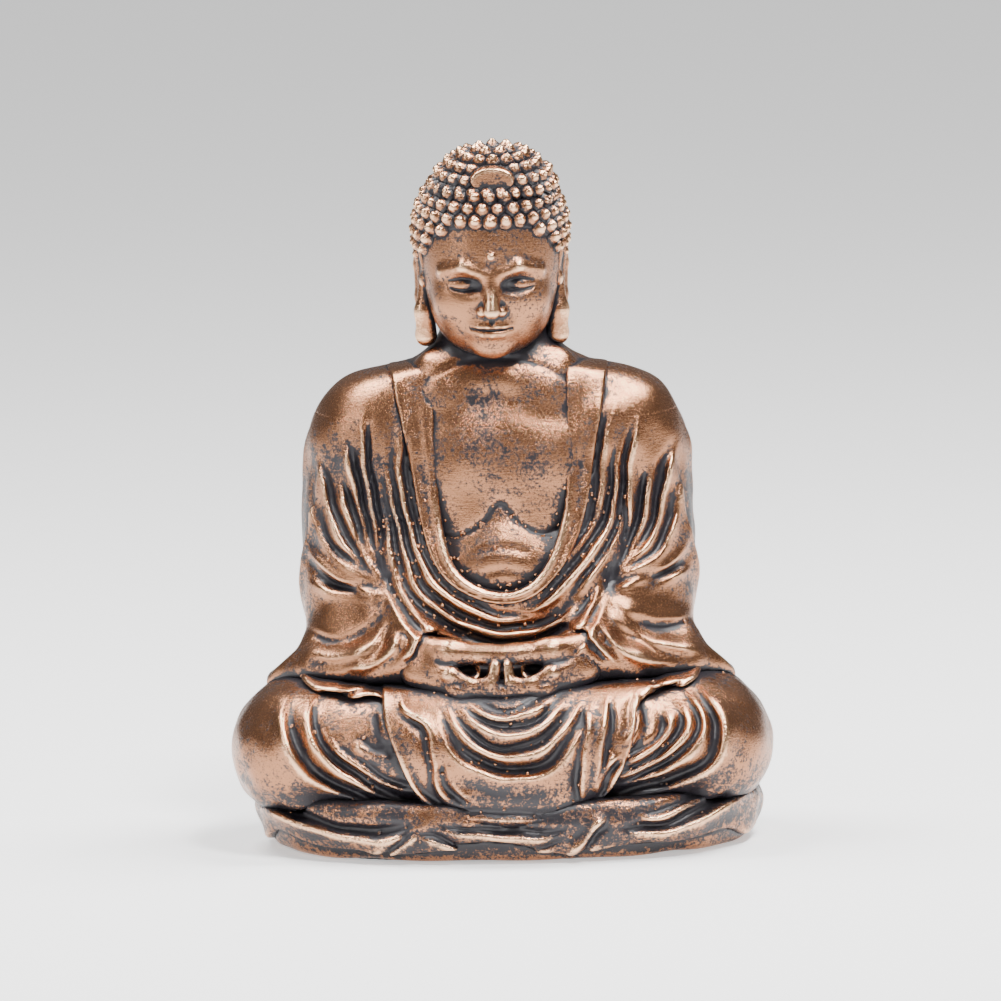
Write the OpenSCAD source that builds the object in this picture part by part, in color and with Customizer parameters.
// Seated meditation figurine: a small cast resin figure in a draped robe, sitting
// cross-legged on a low cloth-covered plinth, with its hands joined in the lap.
//
// Frame: origin at the centre of the underside, +Z up, the figure faces -Y.
// "left" and "right" are the figure's own sides, so its right side is at -X.

/* [Whole figure] */
// Height from the felt pad's underside to the top curl
figure_h = 78; // [70:1:86]
// Width across the knees
knee_w = 60; // [56:1:64]
// Depth of the plinth, front to back
plinth_d = 41; // [39:0.5:44]

/* [Body] */
// Width across the upper arms
shoulder_w = 43.6; // [41:0.2:46]
// Width of the hair at the temples, without its curls
hair_w = 16.6; // [15.5:0.1:18]

/* [Hair] */
// Rows of curls round the head, below the crown mound
curl_rows = 9; // [7:1:10]
// Radius of one curl
curl_r = 0.9; // [0.7:0.05:1]

/* [Drapery] */
// How far a fold stands out of the cloth
fold_h = 0.7; // [0.3:0.1:1]
// Width of a fold
fold_w = 1.1; // [0.7:0.1:1.5]
// Curved folds on each knee
knee_folds = 3; // [1:1:4]
// Hanging folds below the robe's opening
robe_folds = 3; // [1:1:4]
// Hanging folds on the cloth between the knees
apron_folds = 3; // [1:1:4]
// Folds gathered into the crook of each arm
sleeve_folds = 3; // [1:1:4]

/* [Underside] */
// Thickness of the felt pad
felt_t = 0.8; // [0.6:0.1:1.2]
// How far the pad stands out of its recess
felt_proud = 0.2; // [0.1:0.1:0.4]

/* [Hidden] */

bronze = "peru";
dark_bronze = "saddlebrown";
felt_black = "dimgray";
$fn = 20;

// Heights of the main levels, as shares of the whole figure
plinth_top = 0.055 * figure_h;
cloth_top = 0.088 * figure_h;
knee_z = 0.147 * figure_h;
lap_z = 0.238 * figure_h;
elbow_z = 0.36 * figure_h;
shoulder_z = 0.556 * figure_h;
neck_z = 0.69 * figure_h;
chin_z = 0.717 * figure_h;
hairline_z = 0.91 * figure_h;
crown_z = figure_h - curl_r;

// Widths and depths that several forms share
knee_x = knee_w / 2;
arm_x = shoulder_w / 2;
hair_x = hair_w / 2;
back_y = plinth_d / 2;
plinth_x = 0.945 * knee_x;
head_y = 0.4;
plinth_power = 2.6; // squareness of the plinth's outline: 2 is an ellipse
felt_inset = 3;

// ---------- shared shapes ----------

// An egg shape: centre, and its three half sizes
module egg(at, r) translate(at) scale(r) sphere(1);

// One closed mesh of soft carved forms
module carved() resize([0, 0, 0]) children();

// Turns a right-hand form (at -X) into the left-hand one for side = 1
module on_side(side) mirror([side > 0 ? 1 : 0, 0, 0]) children();

// A rounded outline with the given half width and half depth
function outline(half_w, half_d, sides = 48) = [
    for (k = [0 : sides - 1])
        let (c = cos(360 * k / sides), s = sin(360 * k / sides))
        [half_w * sign(c) * pow(abs(c), 2 / plinth_power),
         half_d * sign(s) * pow(abs(s), 2 / plinth_power)]
];

// A closed solid through a stack of levels [half width, half depth, z]
module stack(levels, sides = 48) {
    rings = [for (l = levels) for (p = outline(l[0], l[1], sides)) [p.x, p.y, l[2]]];
    walls = [
        for (k = [0 : len(levels) - 2]) for (i = [0 : sides - 1])
            let (j = (i + 1) % sides)
            [k * sides + i, (k + 1) * sides + i, (k + 1) * sides + j, k * sides + j]
    ];
    bottom = [for (i = [0 : sides - 1]) i];
    top = [for (i = [sides - 1 : -1 : 0]) (len(levels) - 1) * sides + i];
    polyhedron(rings, concat([bottom, top], walls), convexity = 4);
}

// Points of an arc seen from the front: centre, half sizes, first and last angle
function arc(at, r, from, to, steps = 9) = [
    for (k = [0 : steps])
        let (a = from + (to - from) * k / steps)
        [at.x + r.x * cos(a), at.y + r.y * sin(a)]
];

// A line of cloth fold seen from the front, drawn through the front half of the figure
module fold(path, w = fold_w)
    rotate([90, 0, 0]) linear_extrude(30)
        for (k = [0 : len(path) - 2])
            hull() {
                translate(path[k]) circle(w / 2, $fn = 8);
                translate(path[k + 1]) circle(w / 2, $fn = 8);
            }

// ---------- underside and seat ----------

pad_x = 0.93 * plinth_x - felt_inset;
pad_y = 0.97 * back_y - felt_inset;

module felt_pad()
    color(felt_black) stack([[pad_x, pad_y, 0], [pad_x, pad_y, felt_t]]);

module plinth_form()
    stack([[0.93 * plinth_x, 0.97 * back_y, felt_proud],
           [0.985 * plinth_x, 0.99 * back_y, plinth_top - 1.4],
           [plinth_x, back_y, plinth_top]]);

module plinth()
    color(bronze) carved() difference() {
        plinth_form();
        stack([[pad_x, pad_y, -1], [pad_x, pad_y, felt_t]]);
    }

module seat_cloth_form()
    stack([[plinth_x, back_y, plinth_top],
           [0.985 * plinth_x, 0.985 * back_y, plinth_top + 0.6 * (cloth_top - plinth_top)],
           [0.93 * plinth_x, 0.93 * back_y, cloth_top]]);

module seat_cloth()
    color(bronze) carved() difference() {
        seat_cloth_form();
        leg_forms();
        apron_form();
    }

// ---------- legs ----------

module knee_form(side, grow = 0) {
    g = [grow, grow, grow];
    on_side(side) hull() {
        egg([-0.75 * knee_x, -4, knee_z], [0.25 * knee_x, 11, 6.6] + g - [grow, 0, 0]);
        egg([-6, -10.2, knee_z - 1.2], [8, 8.6, 6.2] + g);
        egg([-13.5, 8, knee_z], [11, 10, 6.8] + g);
        egg([-3, 6, knee_z], [6, 11, 6.8] + g);
    }
}

module leg_forms() {
    knee_form(-1);
    knee_form(1);
}

module half_space(side)
    on_side(side) translate([-100, -50, -10]) cube([100, 100, 150]);

// Curved folds that swing round the front of the knee
module knee_folds_2d(side)
    on_side(side)
        for (k = [0 : knee_folds - 1])
            fold(arc([-11.5, knee_z + 4.2], [12.2 - 2.9 * k, 9.6 - 2 * k], 178, 262));

module knee(side)
    color(bronze) carved() difference() {
        intersection() {
            union() {
                knee_form(side);
                intersection() {
                    knee_form(side, fold_h);
                    knee_folds_2d(side);
                }
            }
            half_space(side);
        }
        plinth_form();
        apron_form();
        cuff_form(side);
        hand_form(side);
    }

module apron_form(grow = 0) {
    g = [grow, grow, grow];
    hull() {
        egg([-10.2, -13.8, lap_z - 2.4], [2.8, 3, 2] + g);
        egg([11.2, -13.8, lap_z - 2.4], [2.8, 3, 2] + g);
        egg([-8, -14.8, 11], [3.4, 4.2, 3] + g);
        egg([10, -14.8, 11], [3.4, 4.2, 3] + g);
        egg([1, -14.8, 8], [7, 4.8, 4.2] + g);
    }
}

module lap_apron()
    color(bronze) carved() difference() {
        union() {
            apron_form();
            intersection() {
                apron_form(fold_h);
                for (k = [0 : apron_folds])
                    fold(arc([1, lap_z - 1.5], [12.6 - 2.3 * k, 13 - 2.5 * k], 190, 350));
            }
        }
        plinth_form();
        hand_form(-1);
        hand_form(1);
    }

// ---------- torso and robe ----------

module torso_form() {
    hull() {
        egg([0, 4.5, shoulder_z - 3], [13, 9.6, 10]);
        egg([0, 3, elbow_z - 1], [12.5, 11, 12]);
        egg([0, 4, neck_z - 4.5], [8, 6, 3]);
    }
    hull() {
        egg([0, 3.5, neck_z - 4.5], [7, 6.5, 3.6]);
        egg([0, 2.4, chin_z], [5.6, 6, 3]);
    }
}

module torso()
    color(bronze) carved() difference() {
        torso_form();
        leg_forms();
        apron_form();
        head_form();
        cap_form();
        hand_form(-1);
        hand_form(1);
    }

// The robe's body: shoulders, back and hips, a cloth's thickness over the torso
module robe_form(grow = 0) {
    g = [grow, grow, grow];
    hull() {
        for (side = [-1, 1]) {
            on_side(side) egg([-arm_x + 9.2, 4, shoulder_z + 0.4], [9.2, 8.8, 7.6] + g);
            on_side(side) egg([-6.6, 4.6, neck_z - 4.4], [5, 7.2, 4.4] + g);
            on_side(side) egg([-9, 4, elbow_z], [11, 13, 12] + g);
        }
        egg([0, 8, shoulder_z], [12, 9.4, 8] + g);
        egg([0, 6, lap_z], [17, 12, 8] + g);
    }
}

// The opening of the robe over the chest, a U that is deepest in the middle
module opening_form(grow = 0)
    hull() {
        egg([0.3, -8, elbow_z + 6.5], [7.4 + grow, 12, 7 + grow]);
        egg([0.3, -6, neck_z + 6], [7.4 + grow, 9, 3]);
    }

module robe()
    color(dark_bronze) carved() difference() {
        union() {
            robe_form();
            intersection() {
                robe_form(fold_h);
                for (k = [0 : robe_folds - 1])
                    fold(arc([0.5, elbow_z + 8], [11.6 + 1.9 * k, 11.4 + 1.5 * k], 195, 345));
            }
        }
        torso_form();
        opening_form(2.6);
        leg_forms();
        sleeve_forms();
        head_form();
        cap_form();
        ear_form(-1);
        ear_form(1);
        apron_form();
        hand_form(-1);
        hand_form(1);
    }

module lapel(side)
    color(bronze) carved() difference() {
        intersection() {
            robe_form(0.5 * fold_h);
            opening_form(2.6);
            half_space(side);
        }
        opening_form();
        torso_form();
        sleeve_forms();
        head_form();
        ear_form(side);
        leg_forms();
        hand_form(side);
    }

// ---------- arms ----------

module sleeve_form(side, grow = 0) {
    g = [grow, grow, grow];
    on_side(side) {
        hull() {
            egg([-arm_x + 6.2, 3, shoulder_z - 0.6], [6.2, 7.6, 6.2] + g - [grow, 0, 0]);
            egg([-arm_x + 5.2, 1.5, elbow_z + 1], [5.4, 8.2, 7] + g);
        }
        hull() {
            egg([-arm_x + 5.2, 1, elbow_z - 1], [5.4, 8.6, 6.5] + g);
            egg([-9.4, -9.6, lap_z + 3.6], [3.6, 3.6, 3.2] + g);
            egg([-0.6 * knee_x, -1, lap_z + 0.8], [0.21 * knee_x, 8.6, 2.6] + g);
        }
    }
}

module sleeve_forms() {
    sleeve_form(-1);
    sleeve_form(1);
}

// Folds of the upper arm that gather in the crook of the elbow
module sleeve_folds_2d(side)
    on_side(side)
        for (k = [0 : sleeve_folds - 1])
            fold(arc([-arm_x + 9, elbow_z + 14.6], [8 - 2.3 * k, 12 - 0.6 * k], 186, 262));

module sleeve(side)
    color(bronze) carved() difference() {
        union() {
            sleeve_form(side);
            intersection() {
                sleeve_form(side, fold_h);
                sleeve_folds_2d(side);
            }
        }
        hand_form(side);
        cuff_form(side);
        leg_forms();
        apron_form();
        torso_form();
        opening_form(2.6);
    }

// The sleeve's loose hem, lying over the thigh
module cuff_form(side)
    on_side(side) hull() {
        egg([-0.75 * knee_x, -4.5, lap_z - 1.6], [4.2, 6, 1.5]);
        egg([-10.5, -13, lap_z - 0.4], [3, 3.2, 1.5]);
    }

module cuff(side)
    color(bronze) carved() difference() {
        cuff_form(side);
        hand_form(side);
        apron_form();
    }

// A hand lying in the lap: the back of the hand, curled fingers raised where the two
// hands meet, and the thumb across the top
module hand_form(side)
    on_side(side) {
        hull() {
            egg([-8.2, -11.6, lap_z + 3.2], [2.4, 2.6, 2.3], $fn = 12);
            egg([-5, -14, lap_z + 1.8], [2.4, 2.4, 1.6], $fn = 12);
            egg([-1.25, -15, lap_z + 1.5], [1.2, 1.7, 1.1], $fn = 12);
        }
        hull() {
            egg([-1.15, -14.8, lap_z + 1.5], [1.1, 1.4, 1.1], $fn = 12);
            egg([-1, -14.4, lap_z + 3.8], [0.95, 1.2, 1], $fn = 12);
        }
        hull() {
            egg([-7.6, -12.6, lap_z + 4.6], [1.8, 1.6, 1.2], $fn = 12);
            egg([-1, -13.9, lap_z + 4.5], [0.95, 1.1, 1], $fn = 12);
        }
    }

module hand(side)
    color(bronze) carved() intersection() {
        hand_form(side);
        half_space(side);
    }

// ---------- head ----------

module head_form()
    hull() {
        egg([0, head_y + 0.6, 0.55 * hairline_z + 0.45 * chin_z + 1.5], [0.9 * hair_x, 8.2, 7.6]);
        egg([0, head_y - 1.6, chin_z + 5], [0.78 * hair_x, 6.6, 5]);
    }

module head()
    color(bronze) carved() difference() {
        head_form();
        cap_form();
        crown_form();
    }

module ear_form(side)
    on_side(side) hull() {
        egg([-0.95 * hair_x, head_y + 0.8, hairline_z - 5.6], [0.9, 2.3, 2.7], $fn = 16);
        egg([-0.95 * hair_x, head_y + 0.2, chin_z + 2], [0.9, 1.6, 2], $fn = 16);
    }

module ear(side)
    color(bronze) carved() difference() {
        ear_form(side);
        head_form();
        cap_form();
    }

cap_r = [hair_x, hair_x + 0.7, 0.106 * figure_h];
cap_at = [0, head_y + 1.3, crown_z - 1 - cap_r.z];
crown_r = [0.68 * hair_x, 0.68 * hair_x, 0.054 * figure_h];
crown_at = [0, head_y + 0.8, crown_z - crown_r.z];
hairline_tilt = -38; // the hairline falls towards the nape

// Everything above the tilted plane of the hairline
module above_hairline()
    translate([0, cap_at.y - cap_r.y, hairline_z]) rotate([hairline_tilt, 0, 0])
        translate([-20, -20, 0]) cube([40, 60, 40]);

module cap_form()
    intersection() {
        egg(cap_at, cap_r);
        above_hairline();
    }

module hair_cap()
    color(dark_bronze) carved() cap_form();

module crown_form()
    egg(crown_at, crown_r);

module crown_mound()
    color(dark_bronze) carved() difference() {
        crown_form();
        cap_form();
    }

jewel_lift = 42;
jewel_at = on_egg(crown_at, crown_r, 0, jewel_lift);

module jewel_form(grow = 0)
    translate(jewel_at) rotate([jewel_lift - 90, 0, 0])
        scale([2.7 + grow, 1.2 + grow, 1.2]) rotate([90, 0, 0]) sphere(1);

module crown_jewel()
    color(bronze) carved() difference() {
        jewel_form();
        crown_form();
        cap_form();
    }

// A point on an egg's skin, by its angle round Z (0 at the front) and its height angle
function on_egg(at, r, turn, lift) = [
    at.x + r.x * sin(turn) * cos(lift),
    at.y - r.y * cos(turn) * cos(lift),
    at.z + r.z * sin(lift)
];

// Whether a point stands clear above the hairline's plane
function in_hair(p) =
    (p.z - hairline_z) * cos(hairline_tilt) - (p.y - cap_at.y + cap_r.y) * sin(hairline_tilt) > 0.6 * curl_r;

// Whether a point is outside an egg grown by a margin
function outside(p, at, r, margin) =
    norm([(p.x - at.x) / (r.x + margin), (p.y - at.y) / (r.y + margin), (p.z - at.z) / (r.z + margin)]) > 1;

function ring_count(r, lift) = max(1, floor(2 * PI * r.x * cos(lift) / (2.15 * curl_r)));

// Curl centres in rings round an egg, every second ring turned by half a step
function curl_rings(at, r, lifts) = [
    for (k = [0 : len(lifts) - 1])
        let (n = ring_count(r, lifts[k]))
        for (i = [0 : n - 1]) on_egg(at, r, 360 * (i + (k % 2) / 2) / n, lifts[k])
];

cap_lifts = [for (k = [0 : curl_rows - 1]) -50 + k * 106 / (curl_rows - 1)];
crown_lifts = [16, 47, 90];

cap_curls = [
    for (p = curl_rings(cap_at, cap_r, cap_lifts))
        if (in_hair(p) && outside(p, crown_at, crown_r, curl_r)) p
];
crown_curls = [
    for (p = curl_rings(crown_at, crown_r, crown_lifts))
        if (outside(p, jewel_at, [2.7, 1.7, 1.7], curl_r)) p
];

module hair_curls()
    color(dark_bronze) carved() difference() {
        for (p = concat(cap_curls, crown_curls)) translate(p) sphere(curl_r, $fn = 6);
        cap_form();
        crown_form();
        jewel_form(0.1);
        head_form();
        ear_form(-1);
        ear_form(1);
    }

// ---------- the nodes ----------

felt_pad();
plinth();
seat_cloth();
knee(-1);  // right_knee
knee(1);  // left_knee
lap_apron();
torso();
robe();
lapel(-1);  // right_lapel
lapel(1);  // left_lapel
sleeve(-1);  // right_sleeve
sleeve(1);  // left_sleeve
cuff(-1);  // right_cuff
cuff(1);  // left_cuff
hand(-1);  // right_hand
hand(1);  // left_hand
head();
ear(-1);  // right_ear
ear(1);  // left_ear
hair_cap();
crown_mound();
crown_jewel();
hair_curls();
